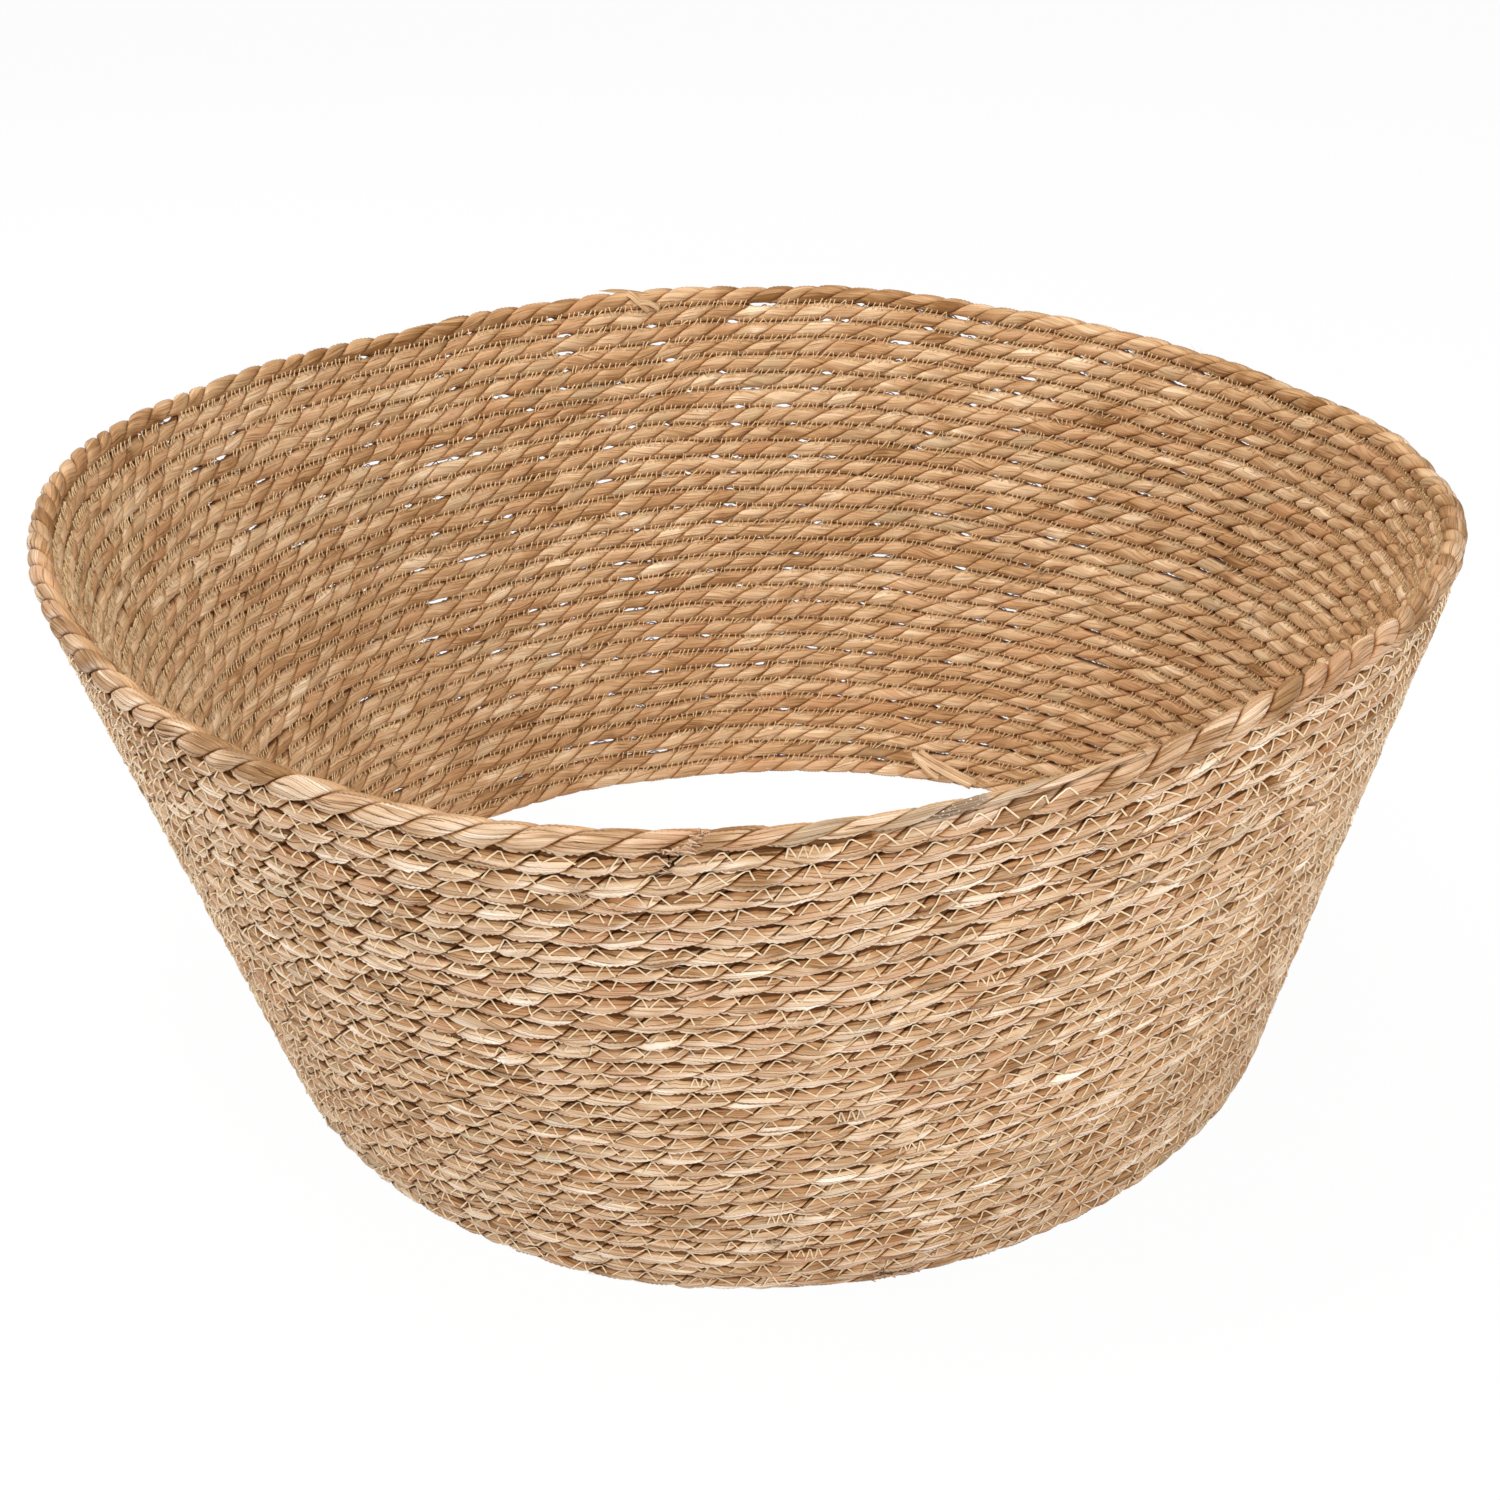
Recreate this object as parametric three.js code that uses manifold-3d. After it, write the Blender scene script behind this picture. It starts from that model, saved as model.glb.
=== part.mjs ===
// A flared seagrass collar that hides a Christmas tree's stand. Lengths of twisted rope are laid end to
// end in one winding, row on row from the floor to the rim, and each row is sewn to the row below it.
// The collar is open at both ends. Millimetres, +Z up, standing on z = 0 with its box centred on the Z axis.
import * as THREE from "three";
import Module from "manifold-3d";

// Overall sizes
const RIM_DIAMETER = 570; // outside of the rope at the rim, before the waves below
const FOOT_DIAMETER = 443; // outside of the rope on the floor
const HEIGHT = 240; // floor to the top of the rim

// The rope and how it is wound
const ROPE_DIAMETER = 8; // through the wall
const ROW_GAP = 0.5; // least space between one row and the next
const JOINT_GAP = 0.3; // space between the ends of two lengths of rope
const FOOT_FLAT = 0.8; // depth that the floor has worn off the lowest row
const STEPS_PER_TURN = 24;
const CLIMB_STEPS = 4; // steps of each turn in which the rope climbs to the next row
const LENGTH_STEPS = 70; // steps in one length of rope in the wall; the foot takes what is left
const RIM_LENGTH_STEPS = 25; // steps in the last length, which makes the rim row
const START_AZIMUTH = -53; // degrees, where the first row has its full height

// The sewing along each groove
const NEEDLE_WIDTH = 5.2; // zigzag on the outside
const BOBBIN_WIDTH = 3.2; // thread on the inside
const THREAD_CLEARANCE = 0.3; // thread to rope

// Soft shape, as heights of gentle waves round the wall, each with the direction of one crest in degrees
const RIM_OVAL = 6.7;
const RIM_OVAL_AZIMUTH = -79;
const RIM_LOBES = 4.7;
const RIM_LOBES_AZIMUTH = 23;
const FOOT_SHIFT = 9.2;
const FOOT_SHIFT_AZIMUTH = 25;
const FOOT_OVAL = 4;
const FOOT_OVAL_AZIMUTH = 0;
const FOOT_LOBES = 5;
const FOOT_LOBES_AZIMUTH = 25.4;
const RIM_TILT = 2.2;
const RIM_TILT_AZIMUTH = -151;
const RIM_SAG = 2.4;
const RIM_SAG_AZIMUTH = -39;
const RIM_WAVE = 4.9;
const RIM_WAVE_AZIMUTH = -42;

const seagrass = new THREE.MeshStandardMaterial({ color: 0xb98d5c, roughness: 0.85, metalness: 0 });
const needleCotton = new THREE.MeshStandardMaterial({ color: 0xd9bf94, roughness: 0.8, metalness: 0 });
const bobbinCotton = new THREE.MeshStandardMaterial({ color: 0xc79a5b, roughness: 0.8, metalness: 0 });

// A wave with a whole number of crests round the collar
function wave(theta, crests, height, azimuth) {
  return height * Math.cos(crests * (theta - THREE.MathUtils.degToRad(azimuth)));
}

// The middle of the wall in one direction, as radius and height, on the lowest row and on the rim row
function wallLine(theta) {
  const footWaves =
    wave(theta, 1, FOOT_SHIFT, FOOT_SHIFT_AZIMUTH) +
    wave(theta, 2, FOOT_OVAL, FOOT_OVAL_AZIMUTH) +
    wave(theta, 3, FOOT_LOBES, FOOT_LOBES_AZIMUTH);
  const rimWaves =
    wave(theta, 2, RIM_OVAL, RIM_OVAL_AZIMUTH) +
    wave(theta, 3, RIM_LOBES, RIM_LOBES_AZIMUTH);
  const lift =
    wave(theta, 1, RIM_TILT, RIM_TILT_AZIMUTH) +
    wave(theta, 2, RIM_SAG, RIM_SAG_AZIMUTH) +
    wave(theta, 3, RIM_WAVE, RIM_WAVE_AZIMUTH);
  const foot = new THREE.Vector2((FOOT_DIAMETER - ROPE_DIAMETER) / 2, ROPE_DIAMETER / 2 - FOOT_FLAT);
  const rim = new THREE.Vector2((RIM_DIAMETER - ROPE_DIAMETER) / 2, HEIGHT - ROPE_DIAMETER / 2);
  foot.x += footWaves;
  rim.x += rimWaves;
  rim.y += lift;
  return { foot, rim };
}

const turnAngle = (turn) => THREE.MathUtils.degToRad(START_AZIMUTH) + 2 * Math.PI * turn;

// As many rows as come nearest to the length of the wall's shortest side, evenly spaced on it
let shortestSide = Infinity;
for (let step = 0; step < STEPS_PER_TURN; step += 1) {
  const { foot, rim } = wallLine(turnAngle(step / STEPS_PER_TURN));
  shortestSide = Math.min(shortestSide, foot.distanceTo(rim));
}
const lastRow = Math.round(shortestSide / ROPE_DIAMETER);
const rowPitch = shortestSide / lastRow;
const halfRow = (rowPitch - ROW_GAP) / 2;
const halfRope = ROPE_DIAMETER / 2;

// A point of the wall: so far up the shortest side, stretched to its own side, and so far out of the wall
function wallPoint(theta, along, out) {
  const { foot, rim } = wallLine(theta);
  const slope = rim.clone().sub(foot);
  const outward = new THREE.Vector2(slope.y, -slope.x).normalize();
  const spot = foot.clone().addScaledVector(slope, along / shortestSide).addScaledVector(outward, out);
  return new THREE.Vector3(spot.x * Math.cos(theta), spot.x * Math.sin(theta), spot.y);
}

// The row that a turn has reached: level for most of it, then up one row in the climb
const climbShare = CLIMB_STEPS / STEPS_PER_TURN;
function rowAt(turn) {
  const whole = Math.floor(turn + 1e-9);
  const climbed = (turn - whole - (1 - climbShare)) / climbShare;
  return whole + THREE.MathUtils.smoothstep(climbed, 0, 1);
}

// The rope's six-sided section, cut down to a tail where the floor or the rim leaves less than a whole row
function ropeSection(turn) {
  const middle = rowAt(turn) * rowPitch;
  const low = Math.max(middle - halfRow, -halfRow);
  const high = Math.min(middle + halfRow, lastRow * rowPitch + halfRow);
  const mid = (low + high) / 2;
  const theta = turnAngle(turn);
  return [
    wallPoint(theta, mid, halfRope),
    wallPoint(theta, high, halfRope / 2),
    wallPoint(theta, high, -halfRope / 2),
    wallPoint(theta, mid, -halfRope),
    wallPoint(theta, low, -halfRope / 2),
    wallPoint(theta, low, halfRope / 2),
  ];
}

// A line of stitches: a three-sided strip in the groove above a row, clear of the rope on both sides
const grooveSlope = halfRow / (halfRope / 2);
const grooveInset = THREAD_CLEARANCE * Math.hypot(1, grooveSlope);
function stitchSection(turn, width, side) {
  const middle = (rowAt(turn) + 0.5) * rowPitch;
  const depthAt = (half) => halfRope / 2 + (half + grooveInset - ROW_GAP / 2) / grooveSlope;
  const theta = turnAngle(turn);
  return [
    wallPoint(theta, middle, side * depthAt(0)),
    wallPoint(theta, middle - (side * width) / 2, side * depthAt(width / 2)),
    wallPoint(theta, middle + (side * width) / 2, side * depthAt(width / 2)),
  ];
}

// The turns at which a piece has a section: its two ends and every whole step between them
function stations(from, to) {
  const turns = [from];
  const next = Math.floor(from * STEPS_PER_TURN + 1e-6) + 1;
  for (let step = next; step / STEPS_PER_TURN < to - 1e-3; step += 1) {
    turns.push(step / STEPS_PER_TURN);
  }
  turns.push(to);
  return turns;
}

// One closed tube through its sections, which run anticlockwise seen from ahead of it
function tube(sections) {
  const sides = sections[0].length;
  const position = sections.flat().flatMap((point) => point.toArray());
  const index = [];
  for (let ring = 0; ring + 1 < sections.length; ring += 1) {
    for (let side = 0; side < sides; side += 1) {
      const here = ring * sides + side;
      const beside = ring * sides + ((side + 1) % sides);
      index.push(here, here + sides, beside, beside, here + sides, beside + sides);
    }
  }
  const end = (sections.length - 1) * sides;
  for (let side = 1; side + 1 < sides; side += 1) {
    index.push(0, side, side + 1, end, end + side + 1, end + side);
  }
  const geometry = new THREE.BufferGeometry();
  geometry.setAttribute("position", new THREE.Float32BufferAttribute(position, 3));
  geometry.setIndex(index);
  return geometry;
}

const wasm = await Module();
wasm.setup();

function toSolid(geometry) {
  const vertProperties = new Float32Array(geometry.attributes.position.array);
  const triVerts = new Uint32Array(geometry.index.array);
  return new wasm.Manifold(new wasm.Mesh({ numProp: 3, vertProperties, triVerts }));
}

function toGeometry(solid) {
  const mesh = solid.getMesh();
  const geometry = new THREE.BufferGeometry();
  geometry.setAttribute("position", new THREE.Float32BufferAttribute(mesh.vertProperties, 3));
  geometry.setIndex(Array.from(mesh.triVerts));
  return geometry;
}

// The floor, as a closed slab below z = 0 that is wider than the foot
function floorSlab() {
  const half = FOOT_DIAMETER;
  const bottom = -ROPE_DIAMETER;
  const lowRing = [
    new THREE.Vector3(-half, -half, bottom),
    new THREE.Vector3(-half, half, bottom),
    new THREE.Vector3(half, half, bottom),
    new THREE.Vector3(half, -half, bottom),
  ];
  const topRing = lowRing.map((corner) => new THREE.Vector3(corner.x, corner.y, 0));
  return toSolid(tube([lowRing, topRing]));
}

const collar = new THREE.Group();

function addPiece(name, geometry, material) {
  geometry.computeVertexNormals();
  const mesh = new THREE.Mesh(geometry, material);
  mesh.name = name;
  collar.add(mesh);
}

// The winding starts in a tail under its own first climb and ends in one over its last climb. Its
// lengths are counted down from the rim.
const firstStep = -CLIMB_STEPS / 2;
const lastStep = (lastRow + 1) * STEPS_PER_TURN - CLIMB_STEPS / 2;
const rimStart = lastStep - RIM_LENGTH_STEPS;
const wallCount = Math.max(1, Math.round((rimStart - firstStep) / LENGTH_STEPS));
const cuts = [lastStep];
for (let number = 0; number < wallCount; number += 1) {
  cuts.unshift(rimStart - number * LENGTH_STEPS);
}
cuts.unshift(firstStep);
const jointTurns = JOINT_GAP / (Math.PI * FOOT_DIAMETER);
for (let number = 1; number < cuts.length; number += 1) {
  const isLast = number === cuts.length - 1;
  const from = cuts[number - 1] / STEPS_PER_TURN;
  const to = cuts[number] / STEPS_PER_TURN - (isLast ? 0 : jointTurns);
  let geometry = tube(stations(from, to).map(ropeSection));
  let name = `wall_rope_${number}`;
  if (number === 1) {
    geometry = toGeometry(toSolid(geometry).subtract(floorSlab()));
    name = "foot_rope";
  } else if (isLast) {
    name = "rim_rope";
  }
  addPiece(name, geometry, seagrass);
}

// The two threads run along every groove, between the winding's two tails
const seamTurns = stations(0, lastRow - climbShare);
addPiece("needle_thread", tube(seamTurns.map((turn) => stitchSection(turn, NEEDLE_WIDTH, 1))), needleCotton);
addPiece("bobbin_thread", tube(seamTurns.map((turn) => stitchSection(turn, BOBBIN_WIDTH, -1))), bobbinCotton);

// The space that the winding leaves to itself, from the points of each section to the row above
const onSegment = new THREE.Vector3();
let leastGap = Infinity;
for (const turn of stations(firstStep / STEPS_PER_TURN, lastStep / STEPS_PER_TURN - 1)) {
  const lower = ropeSection(turn);
  const upper = ropeSection(turn + 1);
  for (const point of lower) {
    for (let side = 0; side < upper.length; side += 1) {
      const segment = new THREE.Line3(upper[side], upper[(side + 1) % upper.length]);
      segment.closestPointToPoint(point, true, onSegment);
      leastGap = Math.min(leastGap, onSegment.distanceTo(point));
    }
  }
}
console.log(`rows of rope: ${lastRow + 1}, pitch ${rowPitch.toFixed(3)} mm`);
console.log(`least gap of the winding to itself: ${leastGap.toFixed(3)} mm`);

// The waves leave the collar a little off centre, so its box is centred on the axis
const box = new THREE.Box3().setFromObject(collar);
const centre = box.getCenter(new THREE.Vector3());
collar.position.set(-centre.x, -centre.y, 0);

const part = new THREE.Group();
part.add(collar);

export default part;
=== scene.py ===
"""A flared, bottomless collar of coiled seagrass rope, sewn row to row, for the foot of a Christmas tree."""
import math

import bpy
import numpy as np
from bpy.props import FloatProperty, FloatVectorProperty, IntProperty, PointerProperty
from mathutils import Matrix, Vector


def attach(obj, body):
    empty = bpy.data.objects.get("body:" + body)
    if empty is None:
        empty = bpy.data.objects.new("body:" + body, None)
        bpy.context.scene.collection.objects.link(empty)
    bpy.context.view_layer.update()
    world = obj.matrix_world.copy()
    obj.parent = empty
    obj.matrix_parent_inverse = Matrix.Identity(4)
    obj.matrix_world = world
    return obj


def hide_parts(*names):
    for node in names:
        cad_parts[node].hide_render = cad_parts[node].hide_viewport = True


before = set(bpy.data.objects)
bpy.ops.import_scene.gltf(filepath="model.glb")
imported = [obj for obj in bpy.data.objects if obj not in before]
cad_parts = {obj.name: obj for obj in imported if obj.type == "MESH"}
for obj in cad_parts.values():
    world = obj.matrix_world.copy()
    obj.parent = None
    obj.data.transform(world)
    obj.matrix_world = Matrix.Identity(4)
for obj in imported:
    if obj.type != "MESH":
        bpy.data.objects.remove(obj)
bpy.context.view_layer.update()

bl_info = {
    "name": "Seagrass Tree Collar",
    "version": (1, 0, 0),
    "blender": (4, 5, 0),
    "location": "View3D > Sidebar > Collar",
    "description": "Builds a coiled and sewn seagrass collar round its solids",
    "category": "Object",
}

MM = 0.001

# Waves round the wall: crests, height, direction of one crest in degrees
RIM_WAVES = ((2, 6.7 * MM, -79), (3, 4.7 * MM, 23))
FOOT_WAVES = ((1, 9.2 * MM, 25), (2, 4 * MM, 0), (3, 5 * MM, 25.4))
RIM_LIFTS = ((1, 2.2 * MM, -151), (2, 2.4 * MM, -39), (3, 4.9 * MM, -42))

# The winding: steps in one turn, in a climb, in a usual length of rope and in the rim's length
STEPS = 24
CLIMB = 4
LENGTH = 70
RIM_LENGTH = 25
# Direction in which the winding starts, in degrees
START = -53
# Part of a climb by which the two tails run on past the winding's ends, and their least height
TAIL = 0.28
TAIL_HEIGHT = 0.05
# The rim's length starts a little late, where its cut end shows, in turns
RIM_JOINT_SHIFT = 0.0095
# Space left between two lengths of rope
JOINT_GAP = 0.25 * MM
# How hand laying lifts the rows: waves in a turn, height, seed
WOBBLE = ((5, 0.55 * MM, 21), (11, 0.45 * MM, 22), (17, 0.32 * MM, 23), (29, 0.2 * MM, 24))

# Turn of the twist at the winding's start, which puts a leaf of the rim on the glued place
TWIST_START = 3.27
# Unevenness of the twist: radians, length of one swing in metres, seed
TWIST_SWINGS = ((1.0, 0.11, 11), (0.80, 0.037, 12), (0.30, 0.019, 13))
# Thickness of a ply as a share of the rope's, and its swings
SWELL = 1.13
SWELL_SWINGS = ((0.075, 0.022, 1), (0.04, 0.09, 2))
# First seed of each ply
PLY_SEEDS = (0, 100)

# One ply's section, half of the round rope: direction from the rope's middle and share of its radius.
# The first edge laps over the other ply and the last edge is tucked under it.
PLY_ANGLES = np.radians([-88, -78, -62, -42, -20, 0, 20, 42, 62, 78, 88])
PLY_FULL = np.array([0.90, 0.95, 0.98, 0.99, 1.0, 1.0, 0.99, 0.97, 0.92, 0.85, 0.76])
PLY_NOTCHED = np.array([0.64, 0.79, 0.92, 0.985, 1.0, 1.0, 0.99, 0.955, 0.87, 0.70, 0.52])
PLY_INNER = -0.10
# Painted shade of each point in the crease where the plies meet, the inner one too, and the bleached lip
# along the lapping edge
PLY_SHADE = np.array([0.6, 0.1, 0, 0, 0, 0, 0, 0, 0.16, 0.7, 1, 1])
PLY_LIP = np.array([0.5, 1, 0.6, 0.12, 0, 0, 0, 0, 0, 0, 0, 0])
# Depth of the notches between the plies where the rim lies open
RIM_NOTCH = 0.75
# The side of a ply that hangs over the row below: direction, half width, share of the radius
OVERHANG = (-0.85, 0.45, 0.18)
# How much the inside falls back towards the seams
ROUND_INSIDE = 0.07
# Ridges of the leaf: share of the radius, width, length, seed
RIDGES = ((0.030, 2.6 * MM, 26 * MM, 4), (0.020, 1.4 * MM, 17 * MM, 5))
# Slant of the fibres over the ply
FIBRE_SLANT = 0.78
# Cut ends: length that is pinched, share of the radius, raggedness
CUT_LENGTH = 5 * MM
CUT_PINCH = 0.2
CUT_RAGGED = 1.2 * MM
# Openings in the seams: spacing, threshold, sharpness, height
OPENINGS = (6.0 * MM, 0.64, 0.45, 1.6 * MM)

# Tone and hue of the leaf, from dark and grey to pale and reddish, and their swings along a ply
LEAF_TONE = 0.47
TONE_SWINGS = ((0.22, 0.021, 6), (0.12, 0.16, 7))
LEAF_HUE = 0.52
HUE_SWINGS = ((0.38, 0.033, 9), (0.18, 0.33, 10))
# How much darker the open rim is painted, which is painted shade, and the few dark leaves
RIM_PAINTED_SHADE = 0.19
DARK_LEAF = 0.16
# Glued grey leaf in the rim's tail: its ply, the turns past the winding's end where it shows, its hue
GLUED_LEAF = (0, 0.0045, 0.0195)
GLUED_HUE = -0.6
# Tone and hue of loose fibres and of stubs of cut leaf, and the hue from which none is bleached
FIBRE_TONE, FIBRE_HUE = 0.62, 0.5
STUB_TONE, STUB_HUE = 0.55, 0.92
BLEACHED_BELOW = 0.7

# Turns from the winding's start to the sewing's, and from its last turn to the two threads' ends
SEWN_FROM = 0.04
NEEDLE_END = 0.035
BOBBIN_END = -0.06
# Short dense stitches that fasten a rope end: turn where they begin, and how many
BAR_TACKS = ((28.9035, 4), (25.71, 3), (19.94, 3), (22.55, 3), (12.915, 3), (9.93, 3),
             (15.885, 3), (5.9, 3), (2.905, 4))
# Their spacing, their half width, and the length kept clear of other stitches
TACK_SPACING = 3.3 * MM
TACK_HALF = 1.4 * MM
TACK_CLEAR = 4 * MM
# One zigzag: places along it as a share of its half width, and how far it has risen there
ZIGZAG_ALONG = np.array([-1.02, -1.0, -0.55, -0.13, 0.13, 0.55, 1.0, 1.02])
ZIGZAG_RISE = np.array([0, 0, 0.47, 1, 1, 0.47, 0, 0])
# Spread of the zigzags: along the rope, in half width, and in lean as a share of it
ZIGZAG_SPREAD = (0.6 * MM, 0.5 * MM, 0.22)
# Directions out of the rope at a zigzag's foot, with its spread, and at its top, in degrees
ZIGZAG_FOOT = (17, 7)
ZIGZAG_TOP = 60
# How deep both feet go in, and where the top lies: under the seam, and out as a share of the radius
ZIGZAG_SUNK = 1.3 * MM
ZIGZAG_GROOVE = (0.1 * MM, 0.70)
# One locking stitch: places up and down from the seam, and depth as a share of the rope's radius
TICK_RISE = np.array([-1.0, -0.4, 0.4, 1.0])
TICK_DEPTH = np.array([0.96, 0.90, 0.90, 0.96])
# Its half height, its slant and how far in it is pulled, each with its spread, and its wander along
TICK_REACH = (1.5 * MM, 0.3 * MM)
TICK_SLANT = (0.75 * MM, 0.5 * MM)
TICK_PULL = (0.1 * MM, 0.15 * MM)
TICK_WANDER = 0.45 * MM
# None is sewn over an opening higher than this
TICK_OPENING = 0.4 * MM
# Least height of a thread over the floor
THREAD_LIFT = 0.4 * MM

# Number of hairs all over, and of bristles round a cut end
HAIRS = 2200
BRISTLES = 26
# Combs of stubs where the rope is cut off, at the rim and the foot: turn and row of both ends, number
COMBS = ((0.8840, 28.80, 0.8902, 29.72, 46), (0.9255, 0.05, 0.9405, 0.22, 60))
# Frays, in millimetres: turn, row, spread along and across it, number, length, thickness, out or in
FRAYS = (
    (0.9710, 22.75, 3, 1.0, 9, 4.0, 0.16, 1),
    (0.8690, 26.9, 6, 1.4, 16, 5.5, 0.15, 1),
    (0.9000, 3.8, 7, 1.6, 18, 6.0, 0.15, 1),
    (0.9210, 19.5, 4, 1.2, 10, 5.0, 0.15, 1),
    (0.9740, 24.5, 4, 1.5, 12, 4.0, 0.18, 1),
    (0.4000, 18.4, 3, 1.0, 9, 6.0, 0.13, -1),
    (0.2520, 28.3, 3, 1.5, 5, 9.0, 0.12, -1),
)
# Flat ends of leaf that hang loose, in millimetres: width, thickness, tone, hue, and a path of turn, row
# and distance out of the wall
LEAF_ENDS = (
    (3.4, 1.3, 0.64, 0.5, (0.3300, 1.20, -3.0), (0.3262, 0.98, -4.8), (0.3190, 0.52, -5.2),
     (0.3105, 0.02, -5.2), (0.3045, -0.28, -5.4)),
    (3.4, 1.3, 0.54, 0.45, (0.3270, 1.45, -3.0), (0.3232, 1.20, -5.0), (0.3165, 0.78, -5.3),
     (0.3085, 0.30, -5.3), (0.3025, -0.02, -5.2)),
    (3.2, 1.0, 0.70, 0.42, (0.3285, 0.95, -3.6), (0.3255, 0.70, -5.2), (0.3225, 0.32, -5.8),
     (0.3190, 0.05, -6.6), (0.3172, 0.0, -7.2)),
    (0.7, 0.5, 0.60, 0.6, (0.3080, 1.72, -3.4), (0.3072, 1.55, -5.0), (0.3065, 1.15, -5.8),
     (0.3068, 0.75, -5.6), (0.3078, 0.50, -4.2)),
    (1.8, 0.3, 0.30, 0.15, (0.4225, 29.30, -3.2), (0.4262, 29.50, -2.6), (0.4298, 29.66, -1.6),
     (0.4330, 29.74, -1.0), (0.4362, 29.80, -0.6)),
    (3.4, 0.5, 0.52, 0.40, (0.4285, 29.52, -2.2), (0.4272, 29.30, -4.2), (0.4258, 29.00, -5.0),
     (0.4240, 28.62, -4.9), (0.4225, 28.35, -3.6)),
    (2.6, 0.5, 0.60, 0.38, (0.4272, 28.80, -3.4), (0.4252, 28.88, -5.1), (0.4228, 28.84, -5.4),
     (0.4208, 28.62, -4.8), (0.4196, 28.40, -3.4)),
)
# Leaf ends thinner than this, in millimetres, taper to a point
POINTED_BELOW = 0.4
# Sections of a leaf end, and points in each
LEAF_END_RINGS, LEAF_END_SIDES = 17, 10

WHITE = (1, 1, 1)
# Soft square lamps: place, side, watts; what they point at; and the even light of the room
LAMPS = {
    "key": ((0.9, -1.6, 1.6), 0.7, 18),
    "side": ((-1.5, -0.5, 1.7), 0.8, 22),
    "top": ((-0.1, -0.1, 2.0), 1.0, 19),
    "low": ((0.5, -1.9, 0.25), 0.9, 15),
    "back": ((-0.8, 1.8, 1.4), 0.9, 8),
}
LAMP_TARGET = (0, 0, 0.12)
ROOM_LIGHT = 0.4
FLOOR_SIZE = 14
# Share of the floor that shows plain white, the rest keeps the shadow
WHITE_SHARE = 0.96
# The camera that was fitted to the outlines
CAMERA_ELEVATION = math.radians(32.58)
CAMERA_ROLL = math.radians(1.56)
CAMERA_DISTANCE = 0.951
CAMERA_LENS, CAMERA_SENSOR = 49.2, 36
CAMERA_SHIFT = (-0.0021, 0.1519)


def length_prop(name, description, size):
    """A length that a user may change, given in millimetres."""
    return FloatProperty(name=name, description=description, default=size * MM, unit="LENGTH")


def colour_prop(name, description, default):
    """A colour that a user may change."""
    return FloatVectorProperty(name=name, description=description, default=default, subtype="COLOR")


class CollarSizes(bpy.types.PropertyGroup):
    """Sizes of the collar, its rope and its stitches"""

    rim_diameter: length_prop("Rim", "Outside of the rope at the rim", 570)
    foot_diameter: length_prop("Foot", "Outside of the rope on the floor", 443)
    height: length_prop("Height", "Floor to the top of the rim", 240)
    rope: length_prop("Rope", "Rope's diameter", 8)
    row_gap: length_prop("Row gap", "Space between the solids' rows", 0.5)
    foot_flat: length_prop("Foot flat", "Depth worn off the lowest row", 0.8)
    lay: length_prop("Lay", "Length of rope in one turn of its twist", 31)
    samples: IntProperty(
        name="Samples", description="Sections of rope in one turn of the winding", default=800)
    thread: length_prop("Thread", "Sewing thread's diameter", 0.62)
    stitch: length_prop("Stitch", "Rope sewn by one zigzag", 9.2)
    stitch_width: length_prop("Stitch width", "Foot to foot of one zigzag", 7.6)
    tick: length_prop("Tick", "Spacing of the locking stitches inside", 2.8)


class CollarColours(bpy.types.PropertyGroup):
    """Colours of the seagrass, the threads and the floor"""

    brown: colour_prop("Brown", "Darkest leaf", (0.27, 0.145, 0.062))
    tan: colour_prop("Tan", "Usual leaf", (0.53, 0.344, 0.206))
    straw: colour_prop("Straw", "Light leaf", (0.70, 0.531, 0.382))
    # Pale also paints the highlight along the lower edges of the rows, on top of the bleaching
    pale: colour_prop("Pale", "Bleached leaf edges", (0.97, 0.88, 0.77))
    orange: colour_prop("Orange", "Reddish leaf", (0.55, 0.32, 0.19))
    grey: colour_prop("Grey", "Weathered leaf", (0.46, 0.37, 0.26))
    inside: colour_prop("Inside", "Tint of the unbleached inside", (1.0, 0.90, 0.74))
    needle: colour_prop("Needle thread", "Thread outside", (0.88, 0.71, 0.48))
    bobbin: colour_prop("Bobbin thread", "Thread inside", (0.88, 0.65, 0.36))
    floor: colour_prop("Floor", "Studio floor", (0.92, 0.92, 0.92))


# Soft random swings

def whole_and_share(x):
    """The whole part of x, and the eased share of the way to the next one."""
    whole = np.floor(x).astype(int)
    share = x - whole
    return whole, share * share * (3 - 2 * share)


def smooth_noise(x, seed):
    """Soft random swings between -1 and 1, one for each unit of x."""
    size = 4096
    table = np.random.default_rng(seed).uniform(-1, 1, size)
    whole, share = whole_and_share(x)
    return table[whole % size] * (1 - share) + table[(whole + 1) % size] * share


def swings(x, waves, seed=0):
    """Several soft swings together: height, length of one swing and seed of each."""
    return sum(height * smooth_noise(x / length, seed + own) for height, length, own in waves)


def smooth_noise_2d(x, y, seed):
    """Soft random swings over a sheet, one for each unit of x and y."""
    wide, high = 256, 2048
    table = np.random.default_rng(seed).uniform(-1, 1, (wide, high))
    column, a = whole_and_share(x)
    row, b = whole_and_share(y)
    left, right = (table[place % wide, row % high] * (1 - b) + table[place % wide, (row + 1) % high] * b
                   for place in (column, column + 1))
    return left * (1 - a) + right * a


# The winding

def notch_share(direction):
    """How much of a notch's depth shows in a direction: none outside, all towards the seams and inside."""
    away = np.abs((direction + np.pi) % (2 * np.pi) - np.pi)
    return np.clip((away - 1.05) / 0.4, 0, 1)


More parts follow.
